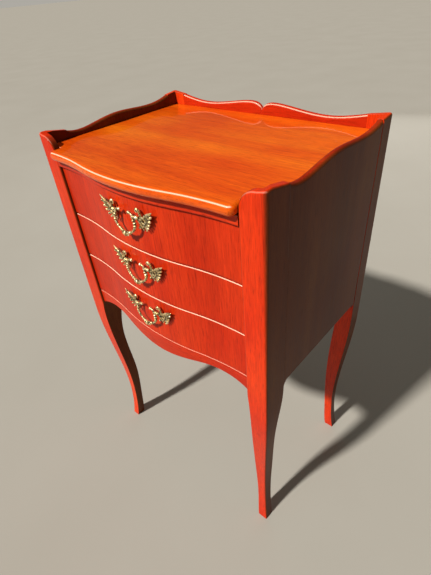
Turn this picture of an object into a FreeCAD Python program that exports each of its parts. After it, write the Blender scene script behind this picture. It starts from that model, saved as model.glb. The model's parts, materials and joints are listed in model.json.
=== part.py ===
import FreeCAD, Part
import math
import os

# Bedside chest of three drawers on cabriole legs, in millimetres.
# +X is to the right when facing the drawers, -Y is the drawer side, +Z is up.
# The origin is on the floor, under the middle of the overall box.

os.makedirs("parts", exist_ok=True)
doc = FreeCAD.newDocument("nightstand")
V = FreeCAD.Vector

# ---------------------------------------------------------------- driving dimensions

DIMENSIONS = {
    # whole case
    "case_width": 427,           # outer faces of the side panels
    "case_depth": 297,           # front of the front posts to the back
    "board_overhang": 28,        # top board in front of the posts, at mid-width
    "seat_height": 666,          # underside of the top board
    "board_thick": 14,
    "board_nose": 6,             # rounding of the board's front edge
    "board_corner": 8,
    "board_half": 177.4,         # half-width of the board between the front lips
    "panel_thick": 10,           # side panels and gallery
    "gallery_round": 4.5,
    # posts
    "front_post_width": 36,
    "front_post_depth": 43,
    "rear_post_width": 32,
    "rear_post_depth": 30,
    "post_top": 701,
    "shoulder_top": 698,         # front posts, where the quarter-round meets the top
    "shoulder_round": 24,
    "joint_top": 694,            # front posts, where the side panel starts
    "joint_flat": 8,
    "side_front": 693,           # side panel, where it meets the front post
    "side_rear": 700,            # side panel, where it meets the rear post
    "gallery_joint": 698.5,      # back gallery, where it meets the rear posts
    "corner_top": 703,           # back corners, the highest points
    "post_round": 6,             # outer corner, at the top of the post
    "toe_round": 2.5,            # the same corner at the foot
    "lip_round": 3,
    # legs, as distances in from the post's outer faces
    "knee_height": 350,
    "shin_height": 215,
    "shin_inset": 8,
    "ankle_height": 105,
    "ankle_inset": 13.5,
    "toe_inset": 5.5,
    "toe_width": 18.5,
    "toe_flare": 0.15,
    "instep_height": 50,
    "instep_inner": 28,
    "calf_height": 165,
    "calf_inner": 33,
    "thigh_height": 305,
    "thigh_inner": 31,
    "joint_lean": 0.2,
    # serpentine front
    "bow_rise": 17,
    "bow_half": 174,
    "front_thick": 16,           # drawer fronts, apron and top rail
    "front_edge_round": 1.8,
    "set_back": 4.5,             # drawers and apron behind the front of the posts
    # apron and side panels
    "apron_top": 410,
    "apron_end": 379,            # lower edge at the posts
    "apron_middle": 375,         # lower edge at mid-width, its lowest point
    "apron_waste": 6,            # wood sawn away under that point
    "side_bottom": 388,
    "bracket_round": 12,
    "seam_wide": 2.2,
    "seam_deep": 2.5,
    # back
    "rail_bottom": 646,          # gallery rail, which is also the upper back rail
    "back_rail_low": 392,
    "back_rail_high": 424,
    "back_rail_thick": 18,
    "back_inset": 5,
    "back_thick": 6,
    # drawers
    "drawer_pitch": 81,
    "front_gap": 0.7,
    "side_gap": 0.5,
    "drawer_depth": 262,
    "side_thick": 9,
    "side_height": 65,
    "lift_gap": 0.4,
    "tail_long": 11,
    "tail_root": 10,
    "tail_spread": 3,
    "tail_count": 3,
    "bottom_thick": 4,
    "bottom_lift": 7,
    "groove_deep": 4,
    "back_drop": 5,
    # runners
    "runner_thick": 8,
    "runner_inner": 160,
    "runner_start": 1,           # behind the inside of the drawer fronts
    "guide_height": 16,
    "screw_radius": 2,
    "screw_head": 4,
    "screw_inset": 30,           # from a post to the nearest screw
    "stop_wide": 13,
    "stop_gap": 0.3,
    "block_size": 15,
    "block_long": 40,
    "block_inset": 20,           # from a post to the nearest block
    # handles
    "pivot_rise": 17,
    "pivot_proud": 7,
    "pin_radius": 1.6,
    "pin_clearance": 0.05,
    "knuckle_radius": 3.2,
    "knuckle_low": 20.6,
    "knuckle_high": 26.6,
    "pin_end": 26.2,
    "neck_half": 2.2,            # half the height of the neck behind a knuckle
    "bail_half": 18,
    "bail_radius": 2.2,
    "bail_arm": 12,
    "bail_top": 2.6,
    "bail_tilt": 6.2,
    "finial_radius": 3.4,
    "finial_drop": 31.5,
    "leaf_thick": 2.5,
    "stud_x": 35,
    "stud_rise": 15,
    "stud_radius": 2,
    "stud_hole": 2.3,
    "stud_past": 8,              # behind the inside of the drawer front
    "nut_radius": 4,
    "nut_thick": 3.2,
    "nut_seat": 1.8,             # clears the curved inside of the front
}

# Points that the sawn outlines pass through between their ends.
SIDE_TOP = [(66, 688.5), (105, 692.5), (148, 696.8), (205, 693.5)]  # (from the front, height)
GALLERY_TOP = [(156, 693.5), (125, 690.2), (93, 691.5), (56, 696.3), (28, 699.3), (9, 697), (0, 689)]
APRON_EDGE = [(36, 378), (72, 385), (115, 391.5), (152, 388.5)]     # (x, height), right half
# Leaf plate of a handle, seen from the front: (x, height from the handle's middle).
LEAF_NOTCHES = [
    (20, 9), (24, 21), (8, 20), (9, 25), (25, 25), (39, 24), (55, 28), (46, 15), (40, 8), (28, 6),
]
LEAF_LOBES = [
    (18, 15), (16, 17), (5.5, 23), (18, 30), (32, 31), (48, 30), (53, 20), (47, 9), (33, 0), (23, 5),
]

sheet = doc.addObject("Spreadsheet::Sheet", "sheet")
for row, (alias, value) in enumerate(DIMENSIONS.items(), start=1):
    sheet.set(f"A{row}", str(value))
    sheet.setAlias(f"A{row}", alias)
doc.recompute()
probe = doc.addObject("Part::Plane", "probe")


def size(expression):
    """The value in millimetres of an expression in the sheet's names."""
    return float(probe.evalExpression(expression))


# Faces that many pieces share, as expressions in the sheet's names.
HALF = "sheet.case_width / 2"
FRONT = "(sheet.board_overhang - sheet.case_depth) / 2"
BACK = "(sheet.board_overhang + sheet.case_depth) / 2"
PANEL_IN = f"{HALF} - sheet.panel_thick"
OPENING = f"{HALF} - sheet.front_post_width"
REAR_IN = f"{HALF} - sheet.rear_post_width"
FRONT_POST_BACK = f"{FRONT} + sheet.front_post_depth"
REAR_POST_FRONT = f"{BACK} - sheet.rear_post_depth"
DRAWER_FACE = f"{FRONT} + sheet.set_back"
DRAWER_HALF = f"{OPENING} - sheet.side_gap"
DRAWER_INNER_FACE = f"{DRAWER_FACE} + sheet.front_thick"
DRAWER_END = f"{DRAWER_FACE} + sheet.drawer_depth"
MARGIN = 10.0        # how far a waste outline reaches past its piece
NOTCH_REACH = 60.0   # how far the notch in a post is cut, past its inner faces
THROUGH = "1000"     # deeper than any piece
NEAR = 0.01          # edges this near a plane lie in it
SHORTEST = 1.0       # edges shorter than this stay sharp
DIAGONAL = math.sin(math.radians(45))  # share of a quarter-round's radius at its middle
DRAWERS = (1, 2, 3)  # from the top down
SIDES = {"left": -1, "right": 1}
sub_parts = []


def keep(piece, label):
    """Name a finished sub-part; the name is also its file's."""
    piece.Label = label
    sub_parts.append(piece)
    return piece


# ---------------------------------------------------------------- building blocks


def box(name, low, high):
    """A block between two corners, each given as three expressions."""
    block = doc.addObject("Part::Box", name)
    for axis, side, start, stop in zip("xyz", ("Length", "Width", "Height"), low, high):
        block.setExpression(side, f"({stop}) - ({start})")
        block.setExpression(f"Placement.Base.{axis}", start)
    return block


def across(side, inner, outer):
    """Lower and upper x of a stretch that lies between inner and outer on one side."""
    if side > 0:
        return inner, outer
    return f"-({outer})", f"-({inner})"


TURNS = {
    "x": FreeCAD.Rotation(V(0, 1, 0), 90),
    "y": FreeCAD.Rotation(V(1, 0, 0), -90),
    "z": FreeCAD.Rotation(),
}


def cylinder(name, axis, start, length, radius):
    """A cylinder from start (three expressions) towards +axis."""
    rod = doc.addObject("Part::Cylinder", name)
    rod.Placement = FreeCAD.Placement(V(), TURNS[axis])
    rod.setExpression("Radius", radius)
    rod.setExpression("Height", length)
    for letter, place in zip("xyz", start):
        rod.setExpression(f"Placement.Base.{letter}", place)
    return rod


def fuse(name, pieces):
    joined = doc.addObject("Part::MultiFuse", name)
    joined.Shapes = pieces
    return joined


def cut(name, base, tool):
    remaining = doc.addObject("Part::Cut", name)
    remaining.Base = base
    remaining.Tool = tool
    return remaining


def group(name, pieces):
    """Separate solids that share one node."""
    together = doc.addObject("Part::Compound", name)
    together.Links = pieces
    return together


def sketch(body, name, role, offset, edges):
    """A closed outline on one of the body's own planes, moved along the plane's normal."""
    outline = body.newObject("Sketcher::SketchObject", name)
    plane = next(item for item in body.Origin.OriginFeatures if item.Role == role)
    outline.AttachmentSupport = [(plane, "")]
    outline.MapMode = "FlatFace"
    outline.AttachmentOffset = FreeCAD.Placement(V(0, 0, 0), FreeCAD.Rotation())
    outline.setExpression("AttachmentOffset.Base.z", offset)
    outline.addGeometry(edges)
    doc.recompute()
    return outline


def pad(body, name, outline, length):
    """Raise the outline along its plane's normal."""
    feature = body.newObject("PartDesign::Pad", name)
    feature.Profile = outline
    feature.setExpression("Length", length)
    doc.recompute()
    return feature


def pocket(body, name, outline, length):
    """Cut the outline along its plane's normal, and check that wood was removed."""
    before = body.Shape.Volume
    feature = body.newObject("PartDesign::Pocket", name)
    feature.Profile = outline
    feature.Reversed = True
    feature.setExpression("Length", length)
    doc.recompute()
    if not feature.Shape.Volume < before:
        raise ValueError(f"{body.Label}: {name} removes nothing")
    return feature


def fillet(body, name, radius, wanted):
    """Round the edges of the body that the test picks."""
    base = body.Tip
    edges = [f"Edge{i}" for i, edge in enumerate(base.Shape.Edges, start=1) if wanted(edge)]
    feature = body.newObject("PartDesign::Fillet", name)
    feature.Base = (base, edges)
    feature.setExpression("Radius", radius)
    doc.recompute()
    return feature


def lines(points):
    """Straight edges through the points."""
    corners = [V(x, y, 0) for x, y in points]
    return [Part.LineSegment(a, b) for a, b in zip(corners, corners[1:])]


def ring(points):
    """Straight edges round the points and back to the first."""
    return lines(points + points[:1])


def rectangle(x_low, y_low, x_high, y_high):
    return ring([(x_low, y_low), (x_high, y_low), (x_high, y_high), (x_low, y_high)])


def curve(points, start=None, end=None):
    """A smooth curve through the points, with its end directions if they are given."""
    spline = Part.BSplineCurve()
    through = [V(x, y, 0) for x, y in points]
    if start is None:
        spline.interpolate(through)
    else:
        spline.interpolate(Points=through, InitialTangent=V(*start, 0), FinalTangent=V(*end, 0))
    return spline


def around(edges):
    """A rectangle outside the outline: with the outline it bounds the waste to be cut away."""
    bounds = Part.Compound([edge.toShape() for edge in edges]).BoundBox
    return rectangle(bounds.XMin - MARGIN, bounds.YMin - MARGIN, bounds.XMax + MARGIN, bounds.YMax + MARGIN)


# ---------------------------------------------------------------- serpentine plan


def bow(end_face, inward, half):
    """Plan of the serpentine front, moved inward: hollow, full, hollow, in three equal-radius arcs."""
    rise = size("sheet.bow_rise")
    radius = (half ** 2 + rise ** 2) / (4 * rise)
    turn = math.asin(half / 2 / radius)
    y_end = size(end_face)

    def full(angle):
        reach = radius - inward
        return V(reach * math.sin(angle), y_end - rise + radius - reach * math.cos(angle), 0)

    def hollow(side, angle):
        reach = radius + inward
        return V(side * (half - reach * math.sin(angle)), y_end - radius + reach * math.cos(angle), 0)

    return [
        Part.Arc(hollow(-1, 0), hollow(-1, turn / 2), full(-turn)),
        Part.Arc(full(-turn), full(0), full(turn)),
        Part.Arc(full(turn), hollow(1, turn / 2), hollow(1, 0)),
    ]


def bowed_strip(end_face, outer, inner, half_width):
    """Plan outline of a serpentine strip lying between two distances inward of the face."""
    half = size("sheet.bow_half")
    wide = size(half_width)
    y_outer = size(end_face) + outer
    y_inner = size(end_face) + inner
    edges = bow(end_face, outer, half) + bow(end_face, inner, half)
    for side in SIDES.values():
        edges += lines([
            (side * half, y_outer),
            (side * wide, y_outer),
            (side * wide, y_inner),
            (side * half, y_inner),
        ])
    return edges


def bowed_board(label, end_face, bottom, top, half_width):
    """An upright serpentine board of even thickness."""
    body = doc.addObject("PartDesign::Body", label)
    plan = bowed_strip(end_face, 0, size("sheet.front_thick"), half_width)
    outline = sketch(body, f"{label}_plan", "XY_Plane", bottom, plan)
    pad(body, f"{label}_board", outline, f"({top}) - ({bottom})")
    return body


def ease_front_edges(body, end_face):
    """Round the upper and lower edges of a serpentine board's front face."""
    level = size(end_face) + NEAR

    def front_edge(edge):
        bounds = edge.BoundBox
        return bounds.YMax < level and bounds.XLength > bounds.ZLength

    fillet(body, f"{body.Label}_eased", "sheet.front_edge_round", front_edge)
    return body


# ---------------------------------------------------------------- legs


def leg_faces(width, joint_height):
    """Outer and inner curves of a cabriole leg seen from one side, as (inset, height)."""
    knee = size("sheet.knee_height")
    toe = size("sheet.toe_inset")
    flare = size("sheet.toe_flare")
    heel = toe + size("sheet.toe_width")
    outer = [
        (0, knee),
        (size("sheet.shin_inset"), size("sheet.shin_height")),
        (size("sheet.ankle_inset"), size("sheet.ankle_height")),
        (toe, 0),
    ]
    inner = [
        (heel, 0),
        (size("sheet.instep_inner"), size("sheet.instep_height")),
        (size("sheet.calf_inner"), size("sheet.calf_height")),
        (size("sheet.thigh_inner"), size("sheet.thigh_height")),
        (width, joint_height),
    ]
    return outer, inner, (-flare, -1), (flare, 1)


def leg_outline(to_plane, width, joint_height, joint_lean, top_edges):
    """Closed outline of a post and its leg; to_plane turns (inset, height) into sketch points."""
    outer, inner, outer_end, inner_start = leg_faces(width, joint_height)
    turned = to_plane(1, 0)[0] - to_plane(0, 0)[0]

    def direction(vector):
        return (turned * vector[0], vector[1])

    edges = [
        curve([to_plane(*p) for p in outer], direction((0, -1)), direction(outer_end)),
        curve([to_plane(*p) for p in inner], direction(inner_start), direction((joint_lean, 1))),
    ]
    edges += lines([to_plane(*outer[-1]), to_plane(*inner[0])])
    last = top_edges[-1].EndPoint
    first = top_edges[0].StartPoint
    edges += lines([to_plane(*outer[0]), (first.x, first.y)])
    edges += lines([(last.x, last.y), to_plane(*inner[-1])])
    return edges + top_edges


def front_post_top(to_plane, width):
    """Top of a front post seen from the front: a slope, then a quarter-round at the inner corner."""
    radius = size("sheet.shoulder_round")
    shoulder = size("sheet.shoulder_top")
    middle = radius * DIAGONAL
    start = (width - radius, shoulder)
    mid = (width - radius + middle, shoulder - radius + middle)
    end = (width, shoulder - radius)
    slope = lines([to_plane(0, size("sheet.post_top")), to_plane(*start)])
    corner = Part.Arc(V(*to_plane(*start), 0), V(*to_plane(*mid), 0), V(*to_plane(*end), 0))
    return slope + [corner]


def leg(label, side, end):
    """A corner post and its cabriole leg in one piece, sawn to shape from the front and the side."""
    front = end < 0
    kind = "front" if front else "rear"
    width = f"sheet.{kind}_post_width"
    depth = f"sheet.{kind}_post_depth"
    wide = size(width)
    deep = size(depth)
    face_x = side * size(HALF)
    face_y = size(FRONT if front else BACK)
    bracket = size("sheet.side_bottom - sheet.bracket_round")

    def from_front(inset, height):
        return (face_x - side * inset, height)

    def from_side(inset, height):
        return (face_y - end * inset, height)

    if front:
        top_front = front_post_top(from_front, wide)
        flat = size("sheet.joint_flat")
        top_side = lines([
            from_side(0, size("sheet.post_top")),
            from_side(flat, size("sheet.post_top")),
            from_side(deep, size("sheet.joint_top")),
        ])
    else:
        corner = size("sheet.corner_top")
        top_front = lines([from_front(0, corner), from_front(wide, size("sheet.gallery_joint"))])
        top_side = lines([from_side(0, corner), from_side(deep, size("sheet.side_rear"))])

    body = doc.addObject("PartDesign::Body", f"{label}_post")
    lean = size("sheet.joint_lean")
    seen_front = leg_outline(from_front, wide, size("sheet.apron_end"), lean, top_front)
    nearest = f"-({FRONT_POST_BACK})" if front else f"-({BACK})"
    blank = sketch(body, f"{label}_front", "XZ_Plane", nearest, seen_front)
    pad(body, f"{label}_blank", blank, "sheet.front_post_depth")
    seen_side = leg_outline(from_side, deep, bracket, 0, top_side)
    low_x, high_x = across(side, f"{HALF} - sheet.front_post_depth", HALF)
    waste = sketch(body, f"{label}_side", "YZ_Plane", low_x, around(seen_side) + seen_side)
    pocket(body, f"{label}_sawn", waste, "sheet.front_post_depth")
    return notch_and_round(body, label, side, end)


def notch_and_round(body, label, side, end):
    """Hollow the post above the board's seat, leaving two lips, then ease the edges."""
    lip = size("sheet.panel_thick")
    face_x = side * size(HALF)
    face_y = size(FRONT if end < 0 else BACK)
    corners = [
        (face_x - side * lip, face_y - end * lip),
        (face_x - side * NOTCH_REACH, face_y - end * lip),
        (face_x - side * NOTCH_REACH, face_y - end * NOTCH_REACH),
        (face_x - side * lip, face_y - end * NOTCH_REACH),
    ]
    seat = sketch(body, f"{label}_seat", "XY_Plane", "sheet.seat_height", ring(corners))
    pocket(body, f"{label}_notch", seat, THROUGH)

    def on_x(edge):
        return max(abs(edge.BoundBox.XMin - face_x), abs(edge.BoundBox.XMax - face_x)) < NEAR

    def on_y(edge):
        return max(abs(edge.BoundBox.YMin - face_y), abs(edge.BoundBox.YMax - face_y)) < NEAR

    eased = doc.addObject("Part::Fillet", f"{label}_corner")
    eased.Base = body
    eased.Edges = [
        (i, size("sheet.toe_round"), size("sheet.post_round"))
        for i, edge in enumerate(body.Shape.Edges, start=1)
        if on_x(edge) and on_y(edge) and edge.BoundBox.ZLength > size("sheet.knee_height")
    ]
    doc.recompute()
    shoulder_low = size("sheet.shoulder_top - sheet.shoulder_round") - NEAR

    def outer_top(edge):
        """Top edges of the two outer faces, and of the rounded corner between them."""
        bounds = edge.BoundBox
        level = bounds.ZMin > shoulder_low and bounds.DiagonalLength > SHORTEST
        touches_x = min(abs(corner.X - face_x) for corner in edge.Vertexes) < NEAR
        touches_y = min(abs(corner.Y - face_y) for corner in edge.Vertexes) < NEAR
        return level and (on_x(edge) or on_y(edge) or (touches_x and touches_y))

    lips = doc.addObject("Part::Fillet", f"{label}_lips")
    lips.Base = eased
    radius = size("sheet.lip_round")
    lips.Edges = [
        (i, radius, radius) for i, edge in enumerate(eased.Shape.Edges, start=1) if outer_top(edge)
    ]
    doc.recompute()
    return keep(lips, label)


# ---------------------------------------------------------------- case


def side_profile():
    """Top edge of a side gallery as (distance from the front, height), between the posts."""
    front = (size("sheet.front_post_depth"), size("sheet.side_front"))
    rear = (size("sheet.case_depth - sheet.rear_post_depth"), size("sheet.side_rear"))
    return [front, *SIDE_TOP, rear]


def gallery_profile():
    """Top edge of the back gallery from the right joint to the middle notch, as (x, height)."""
    return [(size(REAR_IN), size("sheet.gallery_joint")), *GALLERY_TOP]


def side_panel(label, side):
    """Side of the case and its gallery in one board, with a small bracket curve at each leg."""
    body = doc.addObject("PartDesign::Body", label)
    front_y = size(FRONT)
    start = size(FRONT_POST_BACK)
    stop = size(REAR_POST_FRONT)
    bottom = size("sheet.side_bottom")
    radius = size("sheet.bracket_round")
    diagonal = radius * DIAGONAL
    top = [(front_y + along, height) for along, height in side_profile()]
    edges = [curve(top)]
    edges += lines([top[0], (start, bottom - radius)])
    edges += lines([(start + radius, bottom), (stop - radius, bottom)])
    edges += lines([(stop, bottom - radius), top[-1]])
    for end_y, inward in ((start, 1), (stop, -1)):
        centre_y = end_y + inward * radius
        edges.append(Part.Arc(
            V(end_y, bottom - radius, 0),
            V(centre_y - inward * diagonal, bottom - radius + diagonal, 0),
            V(centre_y, bottom, 0),
        ))
    low_x, high_x = across(side, PANEL_IN, HALF)
    outline = sketch(body, f"{label}_outline", "YZ_Plane", low_x, edges)
    pad(body, f"{label}_board", outline, "sheet.panel_thick")
    outside = side * size(HALF)
    inside = outside - side * size("sheet.seam_deep")
    seam = rectangle(
        min(outside, inside), stop - size("sheet.seam_wide"), max(outside, inside), stop
    )
    pocket(body, f"{label}_seam", sketch(body, f"{label}_groove", "XY_Plane", "0", seam), THROUGH)

    def top_edge(edge):
        bounds = edge.BoundBox
        return bounds.ZMin > size("sheet.seat_height + sheet.board_thick") and bounds.YLength > MARGIN

    fillet(body, f"{label}_round", "sheet.gallery_round", top_edge)
    return keep(body, label)


def gallery_rail():
    """Upper back rail whose scalloped top edge closes the gallery behind the board."""
    label = "back_gallery_rail"
    body = doc.addObject("PartDesign::Body", label)
    right = gallery_profile()
    left = [(-x, height) for x, height in right]
    low = size("sheet.rail_bottom")
    edges = [curve(right), curve(left)]
    edges += lines([right[0], (right[0][0], low), (left[0][0], low), left[0]])
    outline = sketch(body, f"{label}_outline", "XZ_Plane", f"-({BACK})", edges)
    pad(body, f"{label}_board", outline, "sheet.panel_thick")

    def top_edge(edge):
        bounds = edge.BoundBox
        return bounds.ZMin > size("sheet.seat_height + sheet.board_thick") and bounds.XLength > MARGIN

    fillet(body, f"{label}_round", "sheet.gallery_round", top_edge)
    return keep(body, label)


def back_boards():
    """Thin back panel, and the lower back rail under it."""
    low = (f"-({REAR_IN})", f"{BACK} - sheet.back_inset - sheet.back_thick", "sheet.back_rail_high")
    high = (REAR_IN, f"{BACK} - sheet.back_inset", "sheet.rail_bottom")
    keep(box("back_panel_board", low, high), "back_panel")
    low = (f"-({REAR_IN})", f"{BACK} - sheet.back_rail_thick", "sheet.back_rail_low")
    high = (REAR_IN, f"{BACK}", "sheet.back_rail_high")
    keep(box("back_rail_board", low, high), "back_bottom_rail")


def top_board():
    """Loose-fitting top that passes between the front lips to a bull-nosed serpentine edge."""
    label = "top_board"
    body = doc.addObject("PartDesign::Body", label)
    nose_face = f"{FRONT} - sheet.board_overhang + sheet.bow_rise"
    wide = size("sheet.board_half")
    corner = size("sheet.board_corner")
    half = wide - corner
    inner = size(PANEL_IN)
    lip_back = size(f"{FRONT} + sheet.panel_thick")
    back = size(f"{BACK} - sheet.panel_thick")
    nose = size(nose_face)
    diagonal = corner * DIAGONAL
    edges = bow(nose_face, 0, half)
    for side in SIDES.values():
        edges.append(Part.Arc(
            V(side * half, nose, 0),
            V(side * (half + diagonal), nose + corner - diagonal, 0),
            V(side * wide, nose + corner, 0),
        ))
        edges += lines([
            (side * wide, nose + corner),
            (side * wide, lip_back),
            (side * inner, lip_back),
            (side * inner, back),
        ])
    edges += lines([(-inner, back), (inner, back)])
    outline = sketch(body, f"{label}_plan", "XY_Plane", "sheet.seat_height", edges)
    pad(body, f"{label}_board", outline, "sheet.board_thick")

    def nose_edge(edge):
        bounds = edge.BoundBox
        return bounds.YMax < nose + corner + NEAR and bounds.ZLength < NEAR

    fillet(body, f"{label}_nose", "sheet.board_nose", nose_edge)
    return keep(body, label)


def apron():
    """Serpentine apron under the drawers, its lower edge sawn to a double curve."""
    label = "front_apron"
    lowest = "sheet.apron_middle - sheet.apron_waste"
    body = bowed_board(label, DRAWER_FACE, lowest, "sheet.apron_top", OPENING)
    top = size("sheet.apron_top")
    wide = size(OPENING)
    end = size("sheet.apron_end")
    right = [*APRON_EDGE, (wide, end)]
    left = [(-x, height) for x, height in reversed(right)]
    edges = [curve([*left, (0, size("sheet.apron_middle")), *right])]
    edges += lines([(-wide, end), (-wide, top), (wide, top), (wide, end)])
    waste = sketch(body, f"{label}_face", "XZ_Plane", f"-({BACK})", around(edges) + edges)
    pocket(body, f"{label}_sawn", waste, THROUGH)
    return keep(ease_front_edges(body, DRAWER_FACE), label)


def case():
    for name, side in SIDES.items():
        leg(f"front_{name}_leg", side, -1)
        leg(f"rear_{name}_leg", side, 1)
        side_panel(f"{name}_side_panel", side)
    gallery_rail()
    back_boards()
    top_board()
    rail_low = f"sheet.apron_top + {len(DRAWERS)} * sheet.drawer_pitch"
    rail = bowed_board("top_front_rail", FRONT, rail_low, "sheet.seat_height", OPENING)
    keep(ease_front_edges(rail, FRONT), "top_front_rail")
    apron()


# ---------------------------------------------------------------- runners


def drawer_low(number):
    """Height of the lower edge of a drawer's front; drawer 1 is at the top."""
    return f"sheet.apron_top + sheet.front_gap + {DRAWERS[-1] - number} * sheet.drawer_pitch"


def runner(name, side, number):
    """Runner glued to the side panel: a ledge under the drawer's side and a guide beside it."""
    label = f"{name}_runner_blank_{number}"
    body = doc.addObject("PartDesign::Body", label)
    ledge = size("sheet.runner_inner")
    opening = size(OPENING)
    panel = size(PANEL_IN)
    post_back = size(FRONT_POST_BACK)
    rear_post = size(REAR_POST_FRONT)
    behind_front = size(f"{DRAWER_INNER_FACE} + sheet.runner_start")
    rear = size(f"{BACK} - sheet.back_rail_thick")
    rear_in = size(REAR_IN)
    plan = [
        (ledge, behind_front),
        (opening, behind_front),
        (opening, post_back),
        (panel, post_back),
        (panel, rear_post),
        (rear_in, rear_post),
        (rear_in, rear),
        (ledge, rear),
    ]
    guide = [(opening, post_back), (panel, post_back), (panel, rear_post), (opening, rear_post)]
    low = drawer_low(number)
    base = sketch(body, f"{label}_plan", "XY_Plane", low, ring([(side * x, y) for x, y in plan]))
    pad(body, f"{label}_ledge", base, "sheet.runner_thick")
    upper = sketch(body, f"{label}_top", "XY_Plane", f"{low} + sheet.runner_thick",
                   ring([(side * x, y) for x, y in guide]))
    pad(body, f"{label}_guide", upper, "sheet.guide_height")
    return body


def runner_screw(name, side, number, place, y_place):
    """Countersunk screw from the guide's face into the side panel, and the hole it needs."""
    height = f"{drawer_low(number)} + sheet.runner_thick + sheet.guide_height / 2"
    long = f"{PANEL_IN} - ({OPENING}) + sheet.panel_thick / 2"
    low_x, high_x = across(side, OPENING, f"{OPENING} + ({long})")
    label = f"{name}_screw_{number}_{place}"
    shank = cylinder(f"{label}_shank", "x", (low_x, y_place, height), long, "sheet.screw_radius")
    head = doc.addObject("Part::Cone", f"{label}_head")
    head.Placement = FreeCAD.Placement(V(), FreeCAD.Rotation(V(0, 1, 0), 90 * side))
    head.setExpression("Radius1", "sheet.screw_head")
    head.setExpression("Radius2", "sheet.screw_radius")
    head.setExpression("Height", "sheet.screw_head - sheet.screw_radius")
    head.setExpression("Placement.Base.x", f"{side} * ({OPENING})")
    head.setExpression("Placement.Base.y", y_place)
    head.setExpression("Placement.Base.z", height)
    return fuse(label, [shank, head])


def runners():
    screws = []
    stops = []
    spots = {
        "front": f"{FRONT_POST_BACK} + sheet.screw_inset",
        "rear": f"{REAR_POST_FRONT} - sheet.screw_inset",
    }
    for number in DRAWERS:
        for name, side in SIDES.items():
            blank = runner(name, side, number)
            pair = [runner_screw(name, side, number, place, y) for place, y in spots.items()]
            holes = group(f"{name}_runner_holes_{number}", pair)
            drilled = cut(f"{name}_runner_drilled_{number}", blank, holes)
            keep(drilled, f"{name}_runner_{number}")
            screws += pair
            low_x, high_x = across(side, "sheet.runner_inner", "sheet.runner_inner + sheet.stop_wide")
            base = f"{drawer_low(number)} + sheet.runner_thick"
            stops.append(box(
                f"{name}_stop_{number}",
                (low_x, f"{DRAWER_END} + sheet.stop_gap", base),
                (high_x, f"{BACK} - sheet.back_rail_thick", f"{base} + sheet.guide_height"),
            ))
    keep(group("screw_group", screws), "runner_screws")
    keep(group("stop_group", stops), "drawer_stops")


def glue_blocks():
    """Blocks in the corner between the side panels and the board."""
    blocks = []
    starts = {
        "front": f"{FRONT_POST_BACK} + sheet.block_inset",
        "rear": f"{REAR_POST_FRONT} - sheet.block_inset - sheet.block_long",
    }
    for name, side in SIDES.items():
        for place, start in starts.items():
            low_x, high_x = across(side, f"{PANEL_IN} - sheet.block_size", PANEL_IN)
            blocks.append(box(
                f"{name}_{place}_block",
                (low_x, start, "sheet.seat_height - sheet.block_size"),
                (high_x, f"{start} + sheet.block_long", "sheet.seat_height"),
            ))
    keep(group("block_group", blocks), "top_glue_blocks")


# ---------------------------------------------------------------- drawers


def tail_heights():
    """Lower and upper height of each dovetail at its root, from the side's lower edge."""
    tall = size("sheet.side_height")
    root = size("sheet.tail_root")
    count = int(size("sheet.tail_count"))
    pitch = tall / count
    middles = [pitch * (i + 0.5) for i in range(count)]
    return [(middle - root / 2, middle + root / 2) for middle in middles]


def drawer_side(label, side, low):
    """Drawer side whose front end has dovetails that lap into the front."""
    body = doc.addObject("PartDesign::Body", f"{label}_blank")
    base = size(low)
    high = base + size("sheet.side_height")
    shoulder = size(DRAWER_INNER_FACE)
    tip = shoulder - size("sheet.tail_long")
    spread = size("sheet.tail_spread")
    rear = size(DRAWER_END)
    outline = [(shoulder, base)]
    for root_low, root_high in tail_heights():
        outline += [
            (shoulder, base + root_low),
            (tip, base + root_low - spread),
            (tip, base + root_high + spread),
            (shoulder, base + root_high),
        ]
    outline += [(shoulder, high), (rear, high), (rear, base)]
    inner = f"{DRAWER_HALF} - sheet.side_thick"
    low_x, high_x = across(side, inner, DRAWER_HALF)
    face = sketch(body, f"{label}_outline", "YZ_Plane", low_x, ring(outline))
    pad(body, f"{label}_board", face, "sheet.side_thick")
    return body


def drawer_box(number):
    """Drawer front, sides, back and bottom; the bottom lies in grooves and runs under the back."""
    low = drawer_low(number)
    side_low = f"{low} + sheet.runner_thick + sheet.lift_gap"
    floor = f"{side_low} + sheet.bottom_lift"
    inner = f"{DRAWER_HALF} - sheet.side_thick"
    groove = f"{inner} + sheet.groove_deep"
    start = f"{DRAWER_INNER_FACE} - sheet.groove_deep"
    name = f"drawer_{number}"
    bottom = box(f"{name}_bottom_board", (f"-({groove})", start, floor),
                 (groove, DRAWER_END, f"{floor} + sheet.bottom_thick"))
    keep(bottom, f"{name}_bottom")
    sides = []
    for hand, side in SIDES.items():
        blank = drawer_side(f"{name}_{hand}_side", side, side_low)
        sides.append(keep(cut(f"{name}_{hand}_grooved", blank, bottom), f"{name}_{hand}_side"))
    back_top = f"{side_low} + sheet.side_height - sheet.back_drop"
    keep(box(f"{name}_back_board",
             (f"-({inner})", f"{DRAWER_END} - sheet.side_thick", f"{floor} + sheet.bottom_thick"),
             (inner, DRAWER_END, back_top)), f"{name}_back")
    front_top = f"{low} + sheet.drawer_pitch - 2 * sheet.front_gap"
    blank = bowed_board(f"{name}_front_blank", DRAWER_FACE, low, front_top, DRAWER_HALF)
    ease_front_edges(blank, DRAWER_FACE)
    holes = [stud(f"{name}_{hand}_hole", side, low, "sheet.stud_hole") for hand, side in SIDES.items()]
    keep(cut(f"{name}_front_cut", blank, group(f"{name}_front_waste", sides + [bottom] + holes)),
         f"{name}_front")


# ---------------------------------------------------------------- handles


def handle_height(low):
    """Height of the middle of a drawer front, which the handle is set out from."""
    return f"{low} + sheet.drawer_pitch / 2 - sheet.front_gap"


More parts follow.
